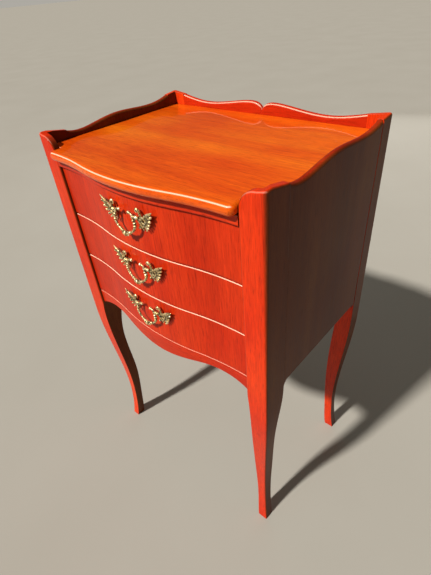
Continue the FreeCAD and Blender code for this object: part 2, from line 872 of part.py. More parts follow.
MIDDLE_FACE = f"{DRAWER_FACE} - sheet.bow_rise"
PIVOT_Y = f"{MIDDLE_FACE} - sheet.pivot_proud"


def stud(name, side, low, radius):
    """Threaded stud of a handle mount, or the hole for it, through the drawer front."""
    height = f"{handle_height(low)} + sheet.stud_rise"
    start = (f"{side} * sheet.stud_x", MIDDLE_FACE, height)
    return cylinder(name, "y", start, "sheet.front_thick + sheet.stud_past", radius)


def leaf_outline(side, height):
    """Leaf-shaped plate as seen from the front: rounded lobes between notches, one side's."""
    corners = [V(side * x, height + z, 0) for x, z in LEAF_NOTCHES]
    peaks = [V(side * x, height + z, 0) for x, z in LEAF_LOBES]
    following = corners[1:] + corners[:1]
    return [Part.Arc(a, peak, b) for a, peak, b in zip(corners, peaks, following)]


def handle_mount(number, name, side, low):
    """Leaf plate bent to the drawer's face, with the knuckle for the bail and the stud."""
    label = f"drawer_{number}_{name}_mount"
    height = size(handle_height(low))
    plate = doc.addObject("PartDesign::Body", f"{label}_plate")
    leaf = sketch(plate, f"{label}_leaf", "XZ_Plane", f"-({DRAWER_FACE})", leaf_outline(side, height))
    pad(plate, f"{label}_blank", leaf, "sheet.bow_rise + 2 * sheet.leaf_thick")
    strip = bowed_strip(DRAWER_FACE, -size("sheet.leaf_thick"), 0, DRAWER_HALF)
    waste = sketch(plate, f"{label}_strip", "XY_Plane", "0", around(strip) + strip)
    pocket(plate, f"{label}_bent", waste, THROUGH)
    pivot_z = f"{handle_height(low)} + sheet.pivot_rise"
    low_x, high_x = across(side, "sheet.knuckle_low", "sheet.knuckle_high")
    wide = "sheet.knuckle_high - sheet.knuckle_low"
    knuckle = cylinder(f"{label}_knuckle", "x", (low_x, PIVOT_Y, pivot_z), wide, "sheet.knuckle_radius")
    neck = box(f"{label}_neck",
               (low_x, PIVOT_Y, f"{pivot_z} - sheet.neck_half"),
               (high_x, MIDDLE_FACE, f"{pivot_z} + sheet.neck_half"))
    eye = cylinder(f"{label}_eye", "x", (low_x, PIVOT_Y, pivot_z), wide,
                   "sheet.pin_radius + sheet.pin_clearance")
    threaded = stud(f"{label}_stud", side, low, "sheet.stud_radius")
    solid = fuse(f"{label}_solid", [plate, knuckle, neck, threaded])
    keep(cut(f"{label}_bored", solid, eye), label)


def handle_nut(number, name, side, low):
    """Hexagonal nut on the inside of the drawer front."""
    label = f"drawer_{number}_{name}_nut"
    prism = doc.addObject("Part::Prism", f"{label}_hexagon")
    prism.Polygon = 6
    prism.Placement = FreeCAD.Placement(V(), TURNS["y"])
    prism.setExpression("Circumradius", "sheet.nut_radius")
    prism.setExpression("Height", "sheet.nut_thick")
    height = f"{handle_height(low)} + sheet.stud_rise"
    seat = f"{MIDDLE_FACE} + sheet.front_thick + sheet.nut_seat"
    for letter, place in zip("xyz", (f"{side} * sheet.stud_x", seat, height)):
        prism.setExpression(f"Placement.Base.{letter}", place)
    return cut(label, prism, stud(f"{label}_bore", side, low, "sheet.stud_radius"))


def bail(number, low):
    """U-shaped drop handle with a finial, leaning out a little from its two pins."""
    label = f"drawer_{number}_bail"
    curve_part = doc.addObject("Part::Torus", f"{label}_curve")
    curve_part.Placement = FreeCAD.Placement(V(), TURNS["y"])
    curve_part.Angle3 = 180
    curve_part.setExpression("Radius1", "sheet.bail_half")
    curve_part.setExpression("Radius2", "sheet.bail_radius")
    curve_part.setExpression("Placement.Base.z", "-sheet.bail_arm")
    finial = doc.addObject("Part::Sphere", f"{label}_finial")
    finial.setExpression("Radius", "sheet.finial_radius")
    finial.setExpression("Placement.Base.z", "-sheet.finial_drop")
    pieces = [curve_part, finial]
    for name, side in SIDES.items():
        arm_start = (f"{side} * sheet.bail_half", "0", "-sheet.bail_arm")
        arm_long = "sheet.bail_arm + sheet.bail_top"
        pieces.append(cylinder(f"{label}_{name}_arm", "z", arm_start, arm_long, "sheet.bail_radius"))
        low_x, high_x = across(side, "sheet.bail_half", "sheet.pin_end")
        pin_long = "sheet.pin_end - sheet.bail_half"
        pieces.append(cylinder(f"{label}_{name}_pin", "x", (low_x, "0", "0"), pin_long, "sheet.pin_radius"))
    whole = fuse(f"{label}_whole", pieces)
    whole.Placement = FreeCAD.Placement(V(), FreeCAD.Rotation(V(1, 0, 0), -size("sheet.bail_tilt")))
    whole.setExpression("Placement.Base.y", PIVOT_Y)
    whole.setExpression("Placement.Base.z", f"{handle_height(low)} + sheet.pivot_rise")
    keep(whole, label)


def drawers():
    for number in DRAWERS:
        low = drawer_low(number)
        drawer_box(number)
        nuts = []
        for name, side in SIDES.items():
            handle_mount(number, name, side, low)
            nuts.append(handle_nut(number, name, side, low))
        keep(group(f"drawer_{number}_nut_group", nuts), f"drawer_{number}_handle_nuts")
        bail(number, low)


# ---------------------------------------------------------------- build, check and write


def check():
    for item in doc.Objects:
        if "Invalid" in item.State or "Error" in item.State:
            raise ValueError(f"{item.Label} failed: {item.State}")
    for piece in sub_parts:
        if piece.Shape.isNull() or not piece.Shape.isValid() or not piece.Shape.Solids:
            raise ValueError(f"{piece.Label} has no valid solid")


case()
runners()
glue_blocks()
drawers()
doc.recompute()
check()
for piece in sub_parts:
    piece.Shape.exportStep(f"parts/{piece.Label}.step")
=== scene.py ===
import json
import math

import bmesh
import bpy
from mathutils import Matrix, Vector


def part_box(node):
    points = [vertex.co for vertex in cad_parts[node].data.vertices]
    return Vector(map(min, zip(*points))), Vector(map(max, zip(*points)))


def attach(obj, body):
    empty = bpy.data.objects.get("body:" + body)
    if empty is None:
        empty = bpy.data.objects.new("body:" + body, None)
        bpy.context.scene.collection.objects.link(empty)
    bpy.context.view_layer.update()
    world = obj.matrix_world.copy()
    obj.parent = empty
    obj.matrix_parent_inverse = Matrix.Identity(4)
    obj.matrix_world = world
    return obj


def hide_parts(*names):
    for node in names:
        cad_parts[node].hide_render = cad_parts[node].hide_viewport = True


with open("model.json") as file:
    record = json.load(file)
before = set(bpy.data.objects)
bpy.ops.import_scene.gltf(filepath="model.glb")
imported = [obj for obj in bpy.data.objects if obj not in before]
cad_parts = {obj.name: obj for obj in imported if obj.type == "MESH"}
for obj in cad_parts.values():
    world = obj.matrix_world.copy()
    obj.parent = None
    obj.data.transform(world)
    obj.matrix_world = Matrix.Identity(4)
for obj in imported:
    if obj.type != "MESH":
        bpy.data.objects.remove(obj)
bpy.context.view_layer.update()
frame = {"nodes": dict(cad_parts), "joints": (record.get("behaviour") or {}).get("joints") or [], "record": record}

# A bedside chest of three drawers: the CAD nodes are given their finishes, and the handles are
# replaced with cast brass. Lengths are metres, except where MM turns millimetres into them.

MM = 0.001
DRAWERS = (1, 2, 3)
SIDES = {"left": -1, "right": 1}
NODES = frame["nodes"]
SLOTS = {item["node"]: item["material_slot"] for item in frame["record"]["subparts"]}


def link_to_scene(item):
    bpy.context.scene.collection.objects.link(item)


# ---------------------------------------------------------------- node helpers


# How a face leans where a tone comes in or goes out: from and to along one axis of its normal,
# and the width of the fade on an arris.
SIDE_FADE = (0.15, 0.9)
FORWARD_FADE = (-0.5, -0.3)
ARRIS_FADE = 0.08


class Graph:
    """A new node material, with short calls for the nodes that every finish here uses."""

    def __init__(self, name):
        self.material = bpy.data.materials.new(name)
        self.material.use_nodes = True
        self.tree = self.material.node_tree
        self.shader = self.tree.nodes["Principled BSDF"]

    def node(self, kind, **settings):
        made = self.tree.nodes.new(kind)
        for key, value in settings.items():
            setattr(made, key, value)
        return made

    def link(self, source, target):
        self.tree.links.new(source, target)

    def set(self, name, value):
        self.shader.inputs[name].default_value = value

    def coordinates(self, stretch=(1, 1, 1), shift=(0, 0, 0)):
        """Object coordinates, stretched along the grain where stretch is less than 1."""
        source = self.node("ShaderNodeTexCoord")
        mapping = self.node("ShaderNodeMapping")
        mapping.inputs["Scale"].default_value = stretch
        mapping.inputs["Location"].default_value = shift
        self.link(source.outputs["Object"], mapping.inputs["Vector"])
        return mapping.outputs["Vector"]

    def noise(self, vector, scale, detail=4.0, roughness=0.5, distortion=0.0):
        made = self.node("ShaderNodeTexNoise")
        made.inputs["Scale"].default_value = scale
        made.inputs["Detail"].default_value = detail
        made.inputs["Roughness"].default_value = roughness
        made.inputs["Distortion"].default_value = distortion
        self.link(vector, made.inputs["Vector"])
        return made.outputs["Fac"]

    def ramp(self, value, stops):
        """Colours at positions; stops is a list of (position, colour)."""
        made = self.node("ShaderNodeValToRGB")
        marks = made.color_ramp.elements
        marks[0].position, marks[0].color = stops[0]
        marks[1].position, marks[1].color = stops[-1]
        for place, colour in stops[1:-1]:
            marks.new(place).color = colour
        self.link(value, made.inputs["Fac"])
        return made.outputs["Color"]

    def span(self, value, low, high, new_low=0.0, new_high=1.0):
        """The value's stretch from low to high, carried over to new_low to new_high."""
        made = self.node("ShaderNodeMapRange")
        limits = {"From Min": low, "From Max": high, "To Min": new_low, "To Max": new_high}
        for name, number in limits.items():
            made.inputs[name].default_value = number
        self.link(value, made.inputs["Value"])
        return made.outputs["Result"]

    def mix(self, factor, first, second, blend="MIX"):
        made = self.node("ShaderNodeMix", data_type="RGBA", blend_type=blend)
        for socket, value in (("Factor", factor), ("A", first), ("B", second)):
            target = next(i for i in made.inputs if i.name == socket and i.enabled)
            if isinstance(value, bpy.types.NodeSocket):
                self.link(value, target)
            else:
                target.default_value = value
        return next(o for o in made.outputs if o.enabled)

    def bump(self, height, strength, distance, normal=None):
        made = self.node("ShaderNodeBump")
        made.inputs["Strength"].default_value = strength
        made.inputs["Distance"].default_value = distance
        self.link(height, made.inputs["Height"])
        if normal is not None:
            self.link(normal, made.inputs["Normal"])
        return made.outputs["Normal"]

    def sideways(self):
        """0 on faces that look forward, back or up, 1 on faces that look to the left or right."""
        source = self.node("ShaderNodeTexCoord")
        parts = self.node("ShaderNodeSeparateXYZ")
        self.link(source.outputs["Normal"], parts.inputs["Vector"])
        size = self.node("ShaderNodeMath", operation="ABSOLUTE")
        self.link(parts.outputs["X"], size.inputs[0])
        return self.span(size.outputs["Value"], *SIDE_FADE)

    def product(self, first, second):
        made = self.node("ShaderNodeMath", operation="MULTIPLY")
        self.link(first, made.inputs[0])
        self.link(second, made.inputs[1])
        return made.outputs["Value"]

    def arris_highlight_mask(self, normal, low, high, most):
        """most where a rounded edge faces forward with an upward lean from low to high; 0 elsewhere. This is the
        mask of the painted highlight on front edges.
        """
        parts = self.node("ShaderNodeSeparateXYZ")
        self.link(normal, parts.inputs["Vector"])
        upward = self.product(
            self.span(parts.outputs["Z"], low, low + ARRIS_FADE, 0.0, most),
            self.span(parts.outputs["Z"], high - ARRIS_FADE, high, 1.0, 0.0),
        )
        return self.product(upward, self.span(parts.outputs["Y"], *FORWARD_FADE, 1.0, 0.0))

    def bevel(self, radius):
        """The surface's normal, with sharp edges rounded by the radius."""
        made = self.node("ShaderNodeBevel", samples=4)
        made.inputs["Radius"].default_value = radius
        return made.outputs["Normal"]

    def openness(self, distance, samples):
        """1 on open surfaces, falling to 0 in gaps and hollows narrower than the distance."""
        made = self.node("ShaderNodeAmbientOcclusion", samples=samples)
        made.inputs["Distance"].default_value = distance
        return made.outputs["AO"]


def rgb(red, green, blue):
    return (red, green, blue, 1.0)


def shade(colour, factor):
    return rgb(*(channel * factor for channel in colour[:3]))


# ---------------------------------------------------------------- materials


GRAIN_STRETCH = 0.06
PORE_STRETCH = 0.045

# Noise scales of the wood, per metre across the grain.
BANDS = 20
STREAKS = 380
PORES = 1100
CLOUDS = 7
RIPPLES = 45

EDGE_ROUND = 1.2 * MM
GAP_WIDTH = 3 * MM
RELIEF = 0.15 * MM

STREAK_TONES = [(0.30, rgb(0.66, 0.55, 0.5)), (0.70, rgb(1.14, 1.22, 1.2))]
STREAK_SHARE = 0.75
CLOUD_TONES = [(0.3, rgb(0.90, 0.70, 0.7)), (0.7, rgb(1.06, 1.35, 1.3))]
CLOUD_SHARE = 0.8
PORE_TONE = rgb(0.30, 0.22, 0.18)
# A pale tone painted on front edges that lean up: a painted highlight.
ARRIS_HIGHLIGHT_TONE = rgb(1.0, 0.72, 0.52)
# Near-black painted shade for narrow gaps and hollows.
GAP_SHADE = rgb(0.012, 0.004, 0.002)
SIDE_GLOSS = 0.4


def stretched(grain, amount):
    """Scale that draws a pattern out along one axis."""
    return tuple(amount if axis == grain else 1.0 for axis in "xyz")


def wood_tone(g, bands, shades):
    dark, middle, light = shades
    return g.ramp(bands, [(0.25, dark), (0.5, middle), (0.75, light)])


def varnished_wood(
    name, grain, shades, side_shade_tones=None, seed=0.0, gloss=0.45, arris=(0.42, 0.88), highlight_strength=0.15
):
    """Mahogany under clear varnish: soft bands, fine streaks and short dark pores along the grain.

    side_shade_tones, where given, is a browner tone of painted shade on the faces that look to the left and right.
    gloss is the weight of the varnish on the other faces. On front edges that lean up there is a pale line of
    painted highlight: arris is its upward lean, from and to, and rubbed its strength."""
    g = Graph(name)
    along = g.coordinates(stretched(grain, GRAIN_STRETCH), shift=(seed, seed * 2, seed * 3))
    bands = g.noise(along, BANDS, detail=3, distortion=0.4)
    streaks = g.noise(along, STREAKS, detail=6, roughness=0.7)
    pores = g.noise(g.coordinates(stretched(grain, PORE_STRETCH)), PORES, detail=2)
    clouds = g.noise(g.coordinates(shift=(seed, 0, 0)), CLOUDS, detail=2)
    soft = g.bevel(EDGE_ROUND)
    tone = wood_tone(g, bands, shades)
    # Faces that look left or right take the browner tone, as painted shade.
    if side_shade_tones:
        tone = g.mix(g.sideways(), tone, wood_tone(g, bands, side_shade_tones))
    tone = g.mix(STREAK_SHARE, tone, g.ramp(streaks, STREAK_TONES), "MULTIPLY")
    tone = g.mix(CLOUD_SHARE, tone, g.ramp(clouds, CLOUD_TONES), "MULTIPLY")
    tone = g.mix(g.span(pores, 0.56, 0.68, 0.0, 0.5), tone, PORE_TONE, "MULTIPLY")
    # Painted highlight: the pale tone on front edges that lean up.
    tone = g.mix(g.arris_highlight_mask(soft, *arris, highlight_strength), tone, ARRIS_HIGHLIGHT_TONE)
    # Painted shade: near black where gaps narrower than GAP_WIDTH close in.
    gap_shade = g.span(g.openness(GAP_WIDTH, samples=6), 0.1, 0.6, 0.85, 0.0)
    g.link(g.mix(gap_shade, tone, GAP_SHADE), g.shader.inputs["Base Color"])
    g.link(g.span(streaks, 0.3, 0.7, 0.36, 0.5), g.shader.inputs["Roughness"])
    g.link(g.bump(pores, 0.2, RELIEF, soft), g.shader.inputs["Normal"])
    varnish(g, grain, soft, gloss)
    return g.material


def varnish(g, grain, soft, gloss):
    """Clear coat, slightly rippled along the grain and duller on the sides."""
    ripple = g.noise(g.coordinates(stretched(grain, GRAIN_STRETCH)), RIPPLES, detail=2)
    g.link(g.bump(ripple, 0.2, RELIEF, soft), g.shader.inputs["Coat Normal"])
    weight = g.span(g.sideways(), 0.0, 1.0, gloss, gloss * SIDE_GLOSS)
    g.link(weight, g.shader.inputs["Coat Weight"])
    g.set("Coat Roughness", 0.05)
    g.set("Coat IOR", 1.36)
    g.set("Specular IOR Level", 0.04)


def bare_wood(name, grain, dark, light, seed=0.0):
    """Planed, unvarnished wood inside the case."""
    g = Graph(name)
    along = g.coordinates(stretched(grain, GRAIN_STRETCH), shift=(seed, seed, seed))
    bands = g.noise(along, 45, detail=4, roughness=0.6, distortion=0.3)
    flecks = g.noise(along, 500, detail=2)
    tone = g.ramp(bands, [(0.35, dark), (0.65, light)])
    tone = g.mix(g.span(flecks, 0.55, 0.7, 0.0, 0.35), tone, shade(dark, 0.6))
    g.link(tone, g.shader.inputs["Base Color"])
    g.link(g.span(bands, 0.3, 0.7, 0.55, 0.7), g.shader.inputs["Roughness"])
    g.link(g.bump(flecks, 0.3, 0.2 * MM, g.bevel(0.5 * MM)), g.shader.inputs["Normal"])
    return g.material


GOLD_TONES = [
    (0.3, rgb(0.88, 0.54, 0.17)),
    (0.5, rgb(1.0, 0.77, 0.38)),
    (0.7, rgb(1.0, 0.92, 0.64)),
]
TARNISH_AND_SHADE = rgb(0.012, 0.006, 0.002)
HOLLOW_WIDTH = 3 * MM


def gilt_brass():
    """Cast brass, gilded on the high parts, nearly black with age in specks, and nearly black in the hollows from
    patina and painted shade.
    """
    g = Graph("gilt_brass")
    plain = g.coordinates()
    gold = g.ramp(g.noise(plain, 260, roughness=0.6), GOLD_TONES)
    edge = g.node("ShaderNodeNewGeometry")
    # Hollows go nearly black: patina of age, and painted shade.
    open_part = g.product(
        g.span(g.openness(HOLLOW_WIDTH, samples=8), 0.5, 0.85),
        g.span(edge.outputs["Pointiness"], 0.47, 0.54),
    )
    specks = g.noise(plain, 420, detail=2)
    bright = g.product(open_part, g.span(specks, 0.40, 0.50, 0.12, 1.0))
    g.link(g.mix(bright, TARNISH_AND_SHADE, gold), g.shader.inputs["Base Color"])
    g.link(g.span(bright, 0.2, 0.9, 0.75, 0.28), g.shader.inputs["Roughness"])
    grit = g.noise(plain, 2200, detail=3)
    g.link(g.bump(grit, 0.25, 0.12 * MM), g.shader.inputs["Normal"])
    g.set("Metallic", 0.6)
    g.set("Specular IOR Level", 0.15)
    return g.material


def steel():
    """Brushed steel of the screws and nuts."""
    g = Graph("steel")
    brushed = g.noise(g.coordinates((1, 0.2, 1)), 1400, detail=3)
    tone = g.ramp(brushed, [(0.3, rgb(0.42, 0.42, 0.43)), (0.7, rgb(0.62, 0.62, 0.63))])
    g.link(tone, g.shader.inputs["Base Color"])
    g.link(g.span(brushed, 0.3, 0.7, 0.3, 0.45), g.shader.inputs["Roughness"])
    g.set("Metallic", 1.0)
    return g.material


# Dark, middle and light tone of each finish.
RED = (rgb(0.46, 0.020, 0.003), rgb(0.58, 0.027, 0.004), rgb(0.68, 0.040, 0.006))
POST = (rgb(0.60, 0.026, 0.003), rgb(0.72, 0.036, 0.004), rgb(0.80, 0.055, 0.006))
TOP = (rgb(0.70, 0.070, 0.002), rgb(0.80, 0.100, 0.003), rgb(0.88, 0.150, 0.005))
# The next two are the red darkened by painted shade: a deeper red for the side panels, and a brown for faces that
# look left or right.
PAINTED_SHADE_RED = (rgb(0.26, 0.014, 0.003), rgb(0.33, 0.020, 0.003), rgb(0.40, 0.032, 0.004))
PAINTED_SHADE_BROWN = (rgb(0.10, 0.020, 0.004), rgb(0.14, 0.030, 0.006), rgb(0.18, 0.044, 0.009))

FINISHES = {
    "top_veneer": varnished_wood(
        "top_veneer", "x", TOP, seed=3.0, gloss=1.0, arris=(0.58, 0.84), highlight_strength=0.75
    ),
    # The side panels are a copy of the red darkened with painted shade.
    "side_mahogany": varnished_wood("side_mahogany", "z", PAINTED_SHADE_RED, PAINTED_SHADE_BROWN, seed=7.0),
    "post_mahogany": varnished_wood("post_mahogany", "z", POST, PAINTED_SHADE_BROWN, seed=7.0),
    "front_mahogany": varnished_wood("front_mahogany", "z", RED, seed=17.0, gloss=0.3, highlight_strength=0.9),
    "drawer_beech": bare_wood("drawer_beech", "y", rgb(0.42, 0.25, 0.12), rgb(0.62, 0.42, 0.24)),
    "plywood": bare_wood("plywood", "x", rgb(0.36, 0.2, 0.1), rgb(0.52, 0.34, 0.19), seed=5.0),
    "gilt_brass": gilt_brass(),
    "steel_hardware": steel(),
}
RAIL_WOOD = varnished_wood("rail_mahogany", "x", RED, seed=23.0, arris=(0.45, 0.78), highlight_strength=0.6)
ACROSS = ("top_front_rail", "front_apron", "back_gallery_rail", "back_bottom_rail")


def finish_cad_nodes():
    """Give every CAD node its finish; rails have their grain across the case."""
    for name, piece in NODES.items():
        finish = RAIL_WOOD if name in ACROSS else FINISHES[SLOTS[name]]
        piece.data.materials.clear()
        piece.data.materials.append(finish)


# ---------------------------------------------------------------- brass handles

# A handle's own axes, in millimetres: out from the drawer's middle, up from the middle of the
# drawer's height, and proud of the drawer's face. Strokes are lists of (out, up, proud, radius).

BOW_RADIUS = 449.5       # of the full middle arc of a drawer's face
RING_SIDES = 10
SPLINE_STEPS = 6
ROUND_END = ((0.9, 0.44), (0.6, 0.8))  # rings past a stroke's end: reach and size, in radii
VOXEL = 0.42
KEPT_FACES = 0.4         # share of the skin's faces that thinning leaves

# A leaf mount: its ribs, which are the scrolls, the ring round its hole and the leaf's middle
# vein; the lobes that fan out from the ring, and thin webs behind them; the beads on the tips of
# the smaller lobes and curls; the ringed eye that takes the bail's pin, and the eye's neck.
RIBS = [
    [(24.6, 24.4, 5.0, 1.2), (23.0, 26.6, 5.0, 1.5), (25.4, 29.0, 5.2, 1.7), (28.8, 26.8, 5.0, 1.9),
     (29.6, 22.0, 4.4, 1.9), (30.0, 18.0, 4.0, 1.9), (30.0, 14.0, 3.8, 1.8)],
    [(30.2, 15.6, 3.6, 1.6), (32.6, 17.4, 4.0, 1.5), (35.8, 16.4, 4.2, 1.5), (37.2, 13.4, 4.2, 1.5),
     (36.0, 10.2, 4.0, 1.5), (33.0, 8.6, 3.8, 1.5), (30.2, 10.0, 3.6, 1.6), (30.2, 14.0, 3.6, 1.6)],
    [(35.4, 17.8, 3.6, 1.7), (39.6, 22.0, 5.2, 1.7), (46.0, 26.0, 6.2, 1.4), (54.0, 30.2, 6.4, 0.3)],
    [(24.4, 13.6, 4.6, 1.8), (26.4, 9.0, 3.8, 1.7), (28.4, 3.8, 3.2, 1.5), (30.6, -1.6, 3.0, 0.9)],
    [(27.6, 6.0, 3.2, 1.4), (25.4, 4.6, 3.2, 1.3), (24.5, 2.2, 3.4, 1.5)],
    [(28.6, 3.4, 3.0, 1.2), (31.8, 3.8, 3.0, 1.2), (33.0, 6.4, 3.0, 1.2)],
    [(24.0, 15.6, 5.2, 2.3), (27.0, 14.6, 4.6, 2.0), (30.2, 13.8, 3.6, 1.8)],
]
PETALS = [
    [(36.6, 16.8, 3.0, 1.8), (41.0, 20.6, 4.4, 2.9), (46.6, 25.0, 5.6, 2.6), (53.4, 29.4, 6.4, 0.5)],
    [(37.2, 15.4, 3.0, 1.7), (42.0, 17.8, 4.2, 2.3), (46.6, 20.6, 5.4, 2.3), (50.4, 22.6, 6.2, 1.5)],
    [(37.4, 13.6, 3.0, 1.7), (41.2, 14.0, 3.8, 2.1), (44.6, 15.0, 5.0, 2.2), (47.0, 15.8, 5.8, 1.7)],
    [(37.0, 11.6, 3.0, 1.6), (39.8, 10.4, 3.6, 1.9), (42.4, 9.8, 4.6, 2.0), (44.2, 10.0, 5.4, 1.6)],
    [(35.6, 9.6, 2.8, 1.6), (37.6, 7.0, 3.2, 1.8), (39.6, 5.4, 4.0, 1.8), (41.2, 5.0, 4.8, 1.4)],
    [(33.6, 8.4, 2.8, 1.4), (34.8, 5.2, 3.0, 1.5), (36.2, 2.4, 3.6, 1.5), (37.6, 1.2, 4.2, 1.2)],
]
WEBS = [
    [(38, 15, 1.0, 2.0), (42, 19, 1.8, 3.6), (46, 23, 2.8, 2.6)],
    [(38, 12, 1.0, 2.0), (40.5, 12.5, 1.6, 2.8), (43, 14, 2.4, 2.0)],
    [(35, 7.5, 1.0, 1.8), (37, 6.5, 1.4, 2.0), (38.5, 6, 1.8, 1.5)],
]
BEADS = [
    (24.4, 1.4, 3.8, 2.1), (50.6, 22.6, 6.4, 1.9), (47.2, 15.8, 6.0, 2.0), (44.4, 10.0, 5.6, 1.9),
    (41.4, 4.8, 5.0, 1.8), (37.8, 0.9, 4.4, 1.6), (33.2, 7.0, 3.4, 1.4),
]
EYE = [
    (21.0, 17, 7, 2.3), (22.0, 17, 7, 2.9), (23.2, 17, 7, 2.2), (24.4, 17, 7, 2.9),
    (25.6, 17, 7, 2.3),
]
NECK = [(25, 13.5, 1.2, 2.6), (24.6, 15, 4, 2.2), (24.2, 16.8, 6.6, 1.8)]
PETAL_FLATNESS = 0.75
WEB_FLATNESS = 0.3


def spline(points):
    """Points on a smooth curve through the given ones, and its last point."""
    points = [Vector(point) for point in points]
    padded = [points[0], *points, points[-1]]
    curve = []
    for before, start, end, after in zip(padded, padded[1:], padded[2:], padded[3:]):
        for step in range(SPLINE_STEPS):
            t = step / SPLINE_STEPS
            curve.append(0.5 * (
                2 * start + (end - before) * t
                + (2 * before - 5 * start + 4 * end - after) * t ** 2
                + (3 * start - before - 3 * end + after) * t ** 3
            ))
    return curve + [points[-1]]


def add_ring(mesh, centre, along, radius, flatness):
    """A ring of vertices round a stroke, flattened towards the drawer's face."""
    across = along.cross(Vector((0, 0, 1))).normalized()
    outward = across.cross(along).normalized() * flatness
    ring = []
    for side in range(RING_SIDES):
        angle = math.tau * side / RING_SIDES
        spoke = across * math.cos(angle) + outward * math.sin(angle)
        ring.append(mesh.verts.new(centre + spoke * radius))
    return ring


def stroke(mesh, points, flatness=1.0):
    """A bar with round ends along points of (out, up, proud, radius)."""
    curve = spline(points)
    centres = [point.xyz for point in curve]
    radii = [point.w for point in curve]
    first = (centres[1] - centres[0]).normalized()
    last = (centres[-1] - centres[-2]).normalized()
    rings = []
    for reach, share in ROUND_END:
        centre = centres[0] - first * reach * radii[0]
        rings.append(add_ring(mesh, centre, first, radii[0] * share, flatness))
    for index, centre in enumerate(centres):
        ahead = centres[min(index + 1, len(centres) - 1)]
        behind = centres[max(index - 1, 0)]
        rings.append(add_ring(mesh, centre, (ahead - behind).normalized(), radii[index], flatness))
    for reach, share in reversed(ROUND_END):
        centre = centres[-1] + last * reach * radii[-1]
        rings.append(add_ring(mesh, centre, last, radii[-1] * share, flatness))
    for near, far in zip(rings, rings[1:]):
        for side in range(RING_SIDES):
            after = (side + 1) % RING_SIDES
            mesh.faces.new((near[side], near[after], far[after], far[side]))
    mesh.faces.new(rings[0][::-1])
    mesh.faces.new(rings[-1])


def bead(mesh, place):
    """A ball at (out, up, proud, radius)."""
    out, up, proud, radius = place
    spot = Matrix.Translation((out, up, proud))
    bmesh.ops.create_icosphere(mesh, subdivisions=2, radius=radius, matrix=spot)


def cast(mesh, name):
    """Join the strokes of a casting into one skin, then smooth and thin it."""
    raw = bpy.data.meshes.new(f"{name}_strokes")
    bmesh.ops.recalc_face_normals(mesh, faces=mesh.faces)
    mesh.to_mesh(raw)
    mesh.free()
    model = bpy.data.objects.new(f"{name}_strokes", raw)
    link_to_scene(model)
    skin = model.modifiers.new("skin", "REMESH")
    skin.mode = "VOXEL"
    skin.voxel_size = VOXEL
    soften = model.modifiers.new("soften", "SMOOTH")
    soften.factor = 0.5
    soften.iterations = 2
    thin = model.modifiers.new("thin", "DECIMATE")
    thin.ratio = KEPT_FACES
    graph = bpy.context.evaluated_depsgraph_get()
    casting = bpy.data.meshes.new_from_object(model.evaluated_get(graph))
    casting.name = name
    bpy.data.objects.remove(model)
    return casting


def mount_casting():
    """One leaf mount, for the right-hand side, in a handle's own axes."""
    mesh = bmesh.new()
    for points in RIBS:
        stroke(mesh, points)
    for points in PETALS:
        stroke(mesh, points, PETAL_FLATNESS)
    for points in WEBS:
        stroke(mesh, points, WEB_FLATNESS)
    for place in BEADS:
        bead(mesh, place)
    stroke(mesh, EYE)
    stroke(mesh, NECK)
    return cast(mesh, "leaf_mount")


# The bail, with its hinge axis at the origin: half of its bar from the ball end to the middle as
# (out, up), the pin, and the finial with its leaves.
BAIL_TILT = 6.2
BAIL_HALF = [
    (9.8, 4.0), (13.4, 3.6), (16.4, 1.8), (17.9, -1.0), (19.4, -5.0), (20.6, -9.5), (20.2, -14.5),
    (17.6, -19.0), (13.2, -22.8), (7.4, -25.6), (0.0, -26.6),
]
ARM_RADIUS = 1.6

# Turned swellings on the bail's bar: distance from the ball end, height and half-width.
SWELLS = [
    (0.0, 0.9, 1.6), (9.8, 0.7, 1.4), (14.4, 1.5, 1.0), (18.2, 1.5, 1.0), (21.9, 1.2, 0.9),
    (25.0, 0.8, 0.8), (28.4, 0.5, 0.9), (31.8, 0.5, 0.9), (40.0, 1.2, 0.9),
]
PIN = [(17, 0, 0, 1.5), (19.5, 0, 0, 1.5), (22, 0, 0, 1.5)]
FINIAL = [(0, -25.0, 1.4, 1.5), (0, -27.6, 2.0, 2.7), (0, -30.2, 1.4, 1.8), (0, -33.0, 0.8, 0.4)]
FINIAL_LEAVES = [
    [(0.4, -27.0, 1.0, 1.5), (3.4, -27.4, 1.4, 1.6), (6.0, -26.2, 1.4, 1.2), (8.0, -24.2, 1.2, 0.5)],
    [(0.4, -27.6, 1.0, 1.5), (3.4, -29.2, 1.6, 1.3), (6.2, -29.4, 1.6, 0.9), (7.2, -27.8, 1.6, 0.7)],
]
FINIAL_FLATNESS = 0.7


def arm_radius(distance):
    """Radius of the bail's bar at a distance along it from its ball end, with turned swellings."""
    radius = ARM_RADIUS
    for place, height, wide in SWELLS:
        radius += height * math.exp(-((distance - place) / wide) ** 2)
    return radius


def on_side(points, side):
    """The same stroke on the given side of a handle's middle."""
    return [(side * out, up, proud, radius) for out, up, proud, radius in points]


def bail_casting():
    """The bail in its own plane, with its hinge axis at the origin."""
    half = spline([(out, up, 0, 0) for out, up in BAIL_HALF])
    distance = 0.0
    bar = []
    for before, point in zip([half[0], *half], half):
        distance += (point - before).length
        bar.append((point.x, point.y, 0, arm_radius(distance)))
    mesh = bmesh.new()
    stroke(mesh, bar + on_side(bar[-2::-1], -1))
    for side in SIDES.values():
        stroke(mesh, on_side(PIN, side))
        for points in FINIAL_LEAVES:
            stroke(mesh, on_side(points, side), FINIAL_FLATNESS)
    stroke(mesh, FINIAL)
    return cast(mesh, "bail")


def bowed_back(out):
    """How far the drawer's face falls back at a distance from its middle."""
    return BOW_RADIUS - math.sqrt(BOW_RADIUS ** 2 - out ** 2)


